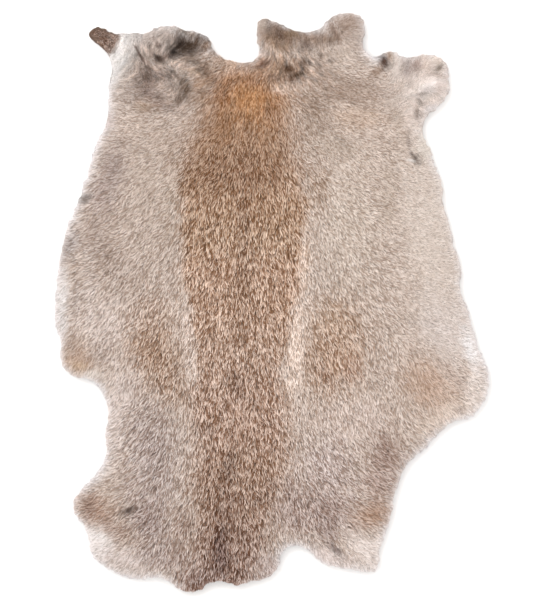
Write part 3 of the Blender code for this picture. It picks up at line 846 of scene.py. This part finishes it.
def nearest_rim(places, tree):
    """Each place's distance to the rim, and the rim's vertex there."""
    found = [tree.find((x, y, 0)) for x, y in places[:, :2]]
    return np.array([far for _, _, far in found]), np.array([index for _, index, _ in found])


def follow_outline(places, normals, height, ends, outline):
    """Moves the wool's rim to the solid's outline, in uneven lumps."""
    steep, tree, outward = rim_of(places, normals)
    far, nearest = nearest_rim(places, tree)
    gap = gaps_to_outline(places[steep], outward, *outline)
    gap += OUTLINE_STAND * np.clip(height[steep, 0] / THICK, 0, 1)
    push = gap[nearest] * np.exp(-((far / WOOL_PULL) ** 2))
    push = eased(push[:, None], ends, PULL_EASE, (EASE_IN,))[:, 0]
    lumps = RIM_LUMPS * waves(places[:, :2], RIM_LUMP_SIZE, LUMP_SEED)
    push += lumps * np.exp(-((far / (WOOL_PULL / 2)) ** 2))
    places[:, :2] += outward[nearest] * push[:, None]


def coat_body():
    """The coat's soft surface, from the frame's solid, and two traits of each vertex: how deep in a hollow
    it lies and how thick the coat is there, both 0 to 1."""
    body = linked(bpy.data.objects.new("wool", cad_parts["pelt"].data.copy()))
    body.data.materials.clear()
    outline = softened_outline(body.data)
    lay_locks_flat(body.data)
    body.data.transform(Matrix.Diagonal((1, 1, WOOL_STRETCH, 1)))
    remesh = body.modifiers.new("remesh", "REMESH")
    remesh.mode = "VOXEL"
    remesh.voxel_size = WOOL_VOXEL
    remesh.use_smooth_shade = True
    mesh = baked_mesh(body)
    mesh.transform(Matrix.Diagonal((1, 1, 1 / WOOL_STRETCH, 1)))
    ends = edge_ends(mesh)
    move_vertices(mesh, eased(mesh_arrays(mesh)[0], ends, WOOL_EASE, (EASE_IN, EASE_OUT)))
    places, normals, _ = mesh_arrays(mesh)
    height = eased(places[:, 2:], ends, HOLLOW_EASE, (EASE_IN, EASE_IN))
    hollow = smooth(*HOLLOW_DEPTHS, height[:, 0] - places[:, 2])
    thick = smooth(THIN, THICK, height[:, 0])
    follow_outline(places, normals, height, ends, outline)
    move_vertices(mesh, places)
    return body, np.stack([hollow, thick], axis=1)


def sink_wool(body, surface):
    """Shrinks the coat's surface to the wool under the hair, colours it with painted shade in its hollows,
    and thins its underside.
    """
    places, normals, traits = surface.places, surface.normals, surface.traits
    sunk = places - normals * (WOOL_SINK * traits[:, 1])[:, None]
    ripple = waves(places[:, :2], WOOL_RIPPLE_SIZE, RIPPLE_SEED) * WOOL_RIPPLE
    sunk[:, 2] += ripple * np.clip(normals[:, 2], 0, 1)
    under = normals[:, 2] < UNDERSIDE
    sunk[:, 2] = np.where(under, WOOL_FLOOR, np.maximum(sunk[:, 2], WOOL_FLOOR))
    move_vertices(body.data, sunk)
    far, _ = nearest_rim(sunk, surface.tree)
    colour, ticking = coat(sunk[:, :2], far, flow(sunk))
    # the wool's colour is darkened in hollows, as painted shade
    set_attribute(body.data, "coat", "FLOAT_COLOR", colour * (1 - HOLLOW_PAINTED_SHADE * traits[:, 0])[:, None])
    set_attribute(body.data, "ticking", "FLOAT", ticking)
    body.data.materials.append(wool_material())
    underside = body.vertex_groups.new(name="underside")
    underside.add(np.flatnonzero(under).tolist(), 1.0, "REPLACE")
    thinned = body.modifiers.new("thinned", "DECIMATE")
    thinned.vertex_group = "underside"
    thinned.ratio = WOOL_KEEP
    baked_mesh(body)


# Hair


def crowding(surface, rim):
    """How closely strands stand on each triangle of the surface."""
    corners = surface.places[surface.triangles]
    facing = unit(np.cross(corners[:, 1] - corners[:, 0], corners[:, 2] - corners[:, 0]))[:, 2]
    middle = corners.mean(axis=1)
    crowd = smooth(*HAIRLESS, facing)
    if rim:
        far, _ = nearest_rim(middle, surface.tree)
        crowd = crowd * (1 - smooth(*RIM_BELT, far))
    return crowd * (1 + FINE_CROWD * fineness(middle[:, :2]))


def scatter(surface, count, rng, crowd):
    """Even random places on the surface, with their normals and traits."""
    corners = surface.places[surface.triangles]
    area = np.linalg.norm(np.cross(corners[:, 1] - corners[:, 0], corners[:, 2] - corners[:, 0]), axis=1)
    area = area * crowd
    order = np.lexsort((np.floor(corners[:, 0, 0] / ROW_WIDTH), np.floor(corners[:, 0, 1] / ROW_WIDTH)))
    steps = np.cumsum(area[order])
    picks = (np.arange(count) + rng.random(count)) / count * steps[-1]
    chosen = order[np.minimum(np.searchsorted(steps, picks), len(order) - 1)]
    a, b = rng.random((2, count))
    flip = a + b > 1
    a, b = np.where(flip, 1 - a, a), np.where(flip, 1 - b, b)
    shares = np.stack([1 - a - b, a, b], axis=1)[:, :, None]
    chosen = surface.triangles[chosen]
    values = (surface.places, surface.normals, surface.traits)
    place, normal, traits = ((value[chosen] * shares).sum(axis=1) for value in values)
    return place, unit(normal), traits.T


def combed(lie, out, far, normal, soft, rng, rim):
    """Which way each strand lies on the surface, and which way its side is."""
    pull = (RIM_PULL if rim else COAT_PULL) * np.exp(-far / PULL_REACH)
    way = level(unit(lie + out * pull[:, None]))
    way = unit(way - normal * dot(way, normal))
    side = unit(np.cross(normal, way))
    twist = np.radians(rng.normal(0, 1, len(way)) * (WANDER + SOFT_TURN * soft**2))[:, None]
    way = way * np.cos(twist) + side * np.sin(twist)
    return way, np.cross(normal, way)


def drawn_together(tip, clump):
    """The strands' tips drawn together in tufts, each by its own share."""
    warp = TUFT_WARP * waves(tip[:, :2], TUFT_WARP_SIZE, CLUMP_SEED)[:, None]
    keys = np.floor(tip[:, :2] / TUFT_CELL + warp).astype(int)
    _, group = np.unique(keys, axis=0, return_inverse=True)
    group = group.ravel()
    size = np.bincount(group)
    middle = np.stack([np.bincount(group, column) / size for column in tip.T], axis=1)[group]
    return tip + (middle - tip) * clump[:, None]


def strands(name, count, length, spread, width, lift, droop, roll, clump, surface, seed, rim):
    """A mesh of bent strands over the surface, from a row of HAIR."""
    rng = np.random.default_rng(seed)
    root, normal, (hollow, thick) = scatter(surface, count, rng, crowding(surface, rim))
    far, nearest = nearest_rim(root, surface.tree)
    out = surface.outward[nearest]
    lie = flow(root)
    _, firm = coat(root[:, :2], far, lie)
    fine = fineness(root[:, :2])
    soft = 1 - firm
    way, side = combed(lie, out, far, normal, soft, rng, rim)

    size = length * (1 + spread * rng.uniform(-1, 1, count)) * kept(SOFT_LENGTH, soft)
    if not rim:
        size = size * kept(RIM_LENGTH, 1 - smooth(0, RIM_EASE, far))
    size = size * (1 - HOLLOW_SHORT * hollow) * kept(THIN_LENGTH, 1 - thick) * kept(FINE_LENGTH, fine)
    rise = np.radians(lift + rng.normal(0, LIFT_SPREAD, count))[:, None]
    fall = np.radians(droop + rng.normal(0, DROOP_SPREAD, count))[:, None]
    first = way * np.cos(rise) + normal * np.sin(rise)
    second = way * np.cos(rise - fall) + normal * np.sin(rise - fall)
    bend = side * rng.normal(0, BEND, count)[:, None]
    tuft = np.maximum(waves(root[:, :2], FUZZ_TUFT_SIZE, FUZZ_SEED), 0)
    fuzz = (RIM_FUZZ if rim else COAT_FUZZ) * (EVEN_FUZZ + (1 - EVEN_FUZZ) * rng.random(count) + tuft)
    leans = np.maximum(dot((first + second) / 2, level(out)), LEAST_LEAN)
    size = np.minimum(size[:, None], (far + fuzz)[:, None] / leans)

    foot = root - normal * (WOOL_SINK * thick + ROOT_DEPTH)[:, None]
    waist = foot + first * size / 2
    tip = waist + unit(second + bend) * size / 2
    if clump:
        tip = drawn_together(tip, clump * firm)
    for place in (waist, tip):
        place[:, 2] = np.maximum(place[:, 2], LEAST_HEIGHT)
    turn = np.radians(rng.normal(0, roll, count) * kept(SOFT_ROLL, soft) * kept(FINE_ROLL, fine))[:, None]
    wide = NARROWEST + WIDTH_SPREAD * rng.random(count)
    wide = wide * kept(SOFT_WIDTH, soft) * kept(FINE_WIDTH, fine)
    half = (side * np.cos(turn) + normal * np.sin(turn)) * (width / 2 * wide)[:, None]
    rooted = half * ROOT_WIDTH
    rows = np.stack([foot - rooted, foot + rooted, waist - half, waist + half, tip], axis=1)

    along = np.stack([root, waist, tip], axis=1).reshape(-1, 3)
    colour, ticking = coat(along[:, :2], np.repeat(far, 3), np.repeat(lie, 3, axis=0))
    own = np.clip(rng.random(count) + PATCHES * wave_sum(tip, PATCH_WAVES), 0, 1)
    # the strands' colour is darkened in hollows, as painted shade
    colour = ticked(colour, ticking, np.repeat(own, 3)) * (1 - HOLLOW_PAINTED_SHADE * np.repeat(hollow, 3))[:, None]
    colour = colour.reshape(-1, 3, 3)[:, [0, 0, 1, 1, 2]].reshape(-1, 3)
    return hair_mesh(name, rows, colour, ticking[1::3], own)


def hair_mesh(name, rows, colour, ticking, own):
    """Joined strands: rows holds each strand's two root corners, two middle corners and its tip."""
    count, points = rows.shape[:2]
    faces = ((0, 1, 3, 2), (2, 3, 4))
    corners = [corner for face in faces for corner in face]
    mesh = bpy.data.meshes.new(name)
    mesh.vertices.add(count * points)
    fill(mesh.vertices, "co", rows)
    strand = np.arange(count)[:, None]
    mesh.loops.add(count * len(corners))
    fill(mesh.loops, "vertex_index", strand * points + corners, np.int32)
    mesh.polygons.add(count * len(faces))
    fill(mesh.polygons, "loop_start", strand * len(corners) + (0, len(faces[0])), np.int32)
    mesh.update(calc_edges=True)
    fill(mesh.polygons, "use_smooth", np.ones(count * len(faces)), bool)
    set_attribute(mesh, "coat", "FLOAT_COLOR", colour)
    set_attribute(mesh, "ticking", "FLOAT", np.repeat(ticking, points))
    set_attribute(mesh, "seed", "FLOAT", np.repeat(own, points))
    set_attribute(mesh, "along", "FLOAT", np.tile((0.0, 0.0, WAIST, WAIST, 1.0), count))
    # Each strand has a cell of its own on the map, its root at the cell's foot.
    across = math.ceil(math.sqrt(count * 3))
    down = math.ceil(count / across)
    cell = np.stack([np.arange(count) % across / across, np.arange(count) // across / down], axis=1)
    spots = np.array([(0.1, 0.06), (0.9, 0.06), (0.1, 0.55), (0.9, 0.55), (0.5, 0.94)])
    spots = cell[:, None] + spots / (across, down)
    fill(mesh.uv_layers.new(name="OFBake").data, "uv", spots[:, corners])
    mesh.validate()
    return mesh


# Materials


class Nodes:
    """Adds nodes to a material, one line each."""

    def __init__(self, name):
        self.material = bpy.data.materials.new(name)
        self.material.use_nodes = True
        self.tree = self.material.node_tree
        self.shader = self.tree.nodes["Principled BSDF"]

    def new(self, kind):
        return self.tree.nodes.new(kind)

    def put(self, socket, value):
        if isinstance(value, bpy.types.NodeSocket):
            self.tree.links.new(value, socket)
        else:
            socket.default_value = value

    def finish(self, name, value):
        self.put(self.shader.inputs[name], value)

    def attribute(self, name, output="Fac"):
        node = self.new("ShaderNodeAttribute")
        node.attribute_name = name
        return node.outputs[output]

    def ramp(self, value, *stops):
        """A colour, or a grey, between stops of a place and a colour."""
        node = self.new("ShaderNodeValToRGB")
        ramp = node.color_ramp
        while len(ramp.elements) < len(stops):
            ramp.elements.new(0.5)
        for element, (place, colour) in zip(ramp.elements, stops):
            element.position = place
            element.color = (*np.broadcast_to(colour, 3), 1)
        self.put(node.inputs[0], value)
        return node.outputs[0]

    def mix(self, first, second, share, kind="MIX"):
        node = self.new("ShaderNodeMix")
        node.data_type = "RGBA"
        node.blend_type = kind
        self.put(node.inputs[0], share)
        self.put(node.inputs[6], first)
        self.put(node.inputs[7], second)
        return node.outputs[2]

    def tint(self, colour, shade, share=1.0):
        return self.mix(colour, shade, share, "MULTIPLY")

    def noise(self, scale, detail):
        node = self.new("ShaderNodeTexNoise")
        node.inputs["Scale"].default_value = scale
        node.inputs["Detail"].default_value = detail
        self.put(node.inputs["Vector"], self.new("ShaderNodeTexCoord").outputs["Object"])
        return node.outputs[0]

    def bump(self, height, strength, distance):
        node = self.new("ShaderNodeBump")
        node.inputs["Strength"].default_value = strength
        node.inputs["Distance"].default_value = distance
        self.put(node.inputs["Height"], height)
        self.finish("Normal", node.outputs[0])

    def firm(self):
        """0 where the coat has no ticks, and 1 where it is full of them."""
        return self.ramp(self.attribute("ticking"), (0.2, 0), (0.9, 1))

    def soft(self):
        return self.ramp(self.attribute("ticking"), (0.2, 1), (0.9, 0))


def hair_material(name, root, gain):
    """Hair of the coat's colour, with a darker root: partly the slate underfur's own colour, partly painted
    shade deep in the coat.
    """
    nodes = Nodes(name)
    along = nodes.attribute("along")
    # the root's darkness: partly slate underfur, partly painted shade
    dark_base_and_shade = nodes.ramp(along, (0, root), (0.5, (1 + root) / 2), (0.85, 1))
    pale = nodes.ramp(along, (0, SOFT_ROOT), (0.85, 1))
    colour = nodes.tint(nodes.attribute("coat", "Color"), nodes.mix(pale, dark_base_and_shade, nodes.firm()))
    colour = nodes.tint(colour, nodes.ramp(nodes.noise(260.0, 2.0), (0.3, 0.96), (0.7, 1.03)))
    colour = nodes.tint(colour, (*gain, 1))
    nodes.finish("Base Color", nodes.tint(colour, (*SOFT_GAIN, 1), nodes.soft()))
    nodes.finish("Roughness", nodes.ramp(nodes.attribute("seed"), (0, 0.62), (1, 0.82)))
    nodes.finish("Specular IOR Level", 0.3)
    nodes.finish("Sheen Weight", 0.15)
    nodes.finish("Sheen Roughness", 0.5)
    return nodes.material


def wool_material():
    """Wool of the coat's colour, darkened partly as slate underfur and partly as painted shade under the
    hair, and darkest between its fine tufts, where that shade is painted.
    """
    nodes = Nodes("wool")
    fine, coarse = nodes.noise(900.0, 4.0), nodes.noise(160.0, 3.0)
    # darker between tufts: partly underfur colour, partly painted shade
    dark_base_and_shade = nodes.ramp(fine, (0.3, 0.38), (0.7, 0.63))
    pale = nodes.ramp(fine, (0.3, 0.62), (0.7, 0.8))
    colour = nodes.tint(nodes.attribute("coat", "Color"), nodes.mix(pale, dark_base_and_shade, nodes.firm()))
    nodes.finish("Base Color", nodes.tint(colour, nodes.ramp(coarse, (0.35, 0.7), (0.65, 1)), 0.5))
    nodes.finish("Roughness", nodes.ramp(fine, (0.3, 0.8), (0.7, 0.95)))
    nodes.finish("Specular IOR Level", 0.2)
    nodes.bump(fine, strength=0.8, distance=0.6 * MM)
    return nodes.material


def skin_material():
    """Matt tanned skin, blotched and finely grained."""
    nodes = Nodes("skin")
    grain = nodes.noise(1400.0, 4.0)
    blotches = [(place, linear(colour)) for place, colour in SKIN_COLOURS]
    colour = nodes.ramp(nodes.noise(38.0, 4.0), *blotches)
    nodes.finish("Base Color", nodes.tint(colour, nodes.ramp(grain, (0.3, 0.8), (0.7, 1)), 0.5))
    nodes.finish("Roughness", nodes.ramp(grain, (0.3, 0.7), (0.7, 0.9)))
    nodes.bump(grain, strength=0.6, distance=0.25 * MM)
    return nodes.material


# Pieces


def make_hair(surface):
    """One mesh for each row of HAIR, and one for the rim."""
    finishes = [hair_material(*row) for row in HAIR_FINISH]
    pieces = []
    for order, row in enumerate((*HAIR, RIM_HAIR)):
        mesh = strands(*row, surface, SEED + order, rim=row is RIM_HAIR)
        mesh.materials.append(next(finish for finish in finishes if row[0].startswith(finish.name)))
        pieces.append(linked(bpy.data.objects.new(row[0], mesh)))
    return pieces


def make_skin():
    """The skin, on the solid's flat underside, and its area."""
    places, _, triangles = mesh_arrays(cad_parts["pelt"].data)
    under = triangles[(places[triangles][:, :, 2] < SKIN_LEVEL).all(axis=1)]
    used, renumbered = np.unique(under, return_inverse=True)
    mesh = bpy.data.meshes.new("skin")
    mesh.from_pydata(places[used].tolist(), [], renumbered.reshape(-1, 3).tolist())
    skin = linked(bpy.data.objects.new("skin", mesh))
    skin.modifiers.new("weld", "WELD").merge_threshold = WELD
    thick = skin.modifiers.new("thick", "SOLIDIFY")
    thick.thickness = SKIN_THICK
    thick.offset = -1
    baked_mesh(skin)
    skin.data.materials.append(skin_material())
    return skin, float(sum(face.area for face in skin.data.polygons if face.normal.z < UNDERSIDE))


body, body_traits = coat_body()
body_places, body_normals, body_triangles = mesh_arrays(body.data)
rim = rim_of(body_places, body_normals)
surface = Surface(body_places, body_normals, body_triangles, body_traits, *rim[1:])
coat_pieces = make_hair(surface)
sink_wool(body, surface)
coat_pieces.append(body)
skin, skin_area = make_skin()

for piece in coat_pieces:
    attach(piece, "root")
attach(skin, "root")
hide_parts("pelt")


# Stage: a pale floor, soft light, and a camera straight above


def make_floor(half, colour, roughness):
    mesh = bpy.data.meshes.new("floor")
    corners = [(-half, -half, 0), (half, -half, 0), (half, half, 0), (-half, half, 0)]
    mesh.from_pydata(corners, [], [(0, 1, 2, 3)])
    paper = Nodes("paper")
    paper.finish("Base Color", (*colour, 1))
    paper.finish("Roughness", roughness)
    mesh.materials.append(paper.material)
    linked(bpy.data.objects.new("floor", mesh))


def make_light(place, size, power):
    light = bpy.data.lights.new("key", "AREA")
    light.size = size
    light.energy = power
    lamp = linked(bpy.data.objects.new("key", light))
    lamp.location = place
    lamp.rotation_euler = (-Vector(place)).to_track_quat("-Z", "Y").to_euler()


def make_world(colour, strength):
    world = bpy.data.worlds.new("studio")
    world.use_nodes = True
    sky = world.node_tree.nodes["Background"].inputs
    sky["Color"].default_value = (*colour, 1)
    sky["Strength"].default_value = strength
    bpy.context.scene.world = world


def make_camera(height, sensor, farthest):
    lens = bpy.data.cameras.new("camera")
    lens.sensor_fit = "VERTICAL"
    lens.sensor_height = sensor
    lens.lens = sensor * height / (PHOTO_TALL * PIXEL)
    lens.clip_end = farthest
    camera = linked(bpy.data.objects.new("camera", lens))
    x = (PHOTO_WIDE / 2 - PHOTO_ORIGIN[0]) * PIXEL
    y = (PHOTO_ORIGIN[1] - PHOTO_TALL / 2) * PIXEL
    camera.location = (x, y, height)
    bpy.context.scene.camera = camera
    bpy.context.scene.view_settings.view_transform = "Standard"


make_floor(half=3.0, colour=(0.97, 0.97, 0.97), roughness=0.9)
make_light(place=(-1.2, 1.4, 1.9), size=2.0, power=31.0)
make_world(colour=(1.0, 0.985, 0.97), strength=1.2)
make_camera(height=2.2, sensor=24.0, farthest=20.0)
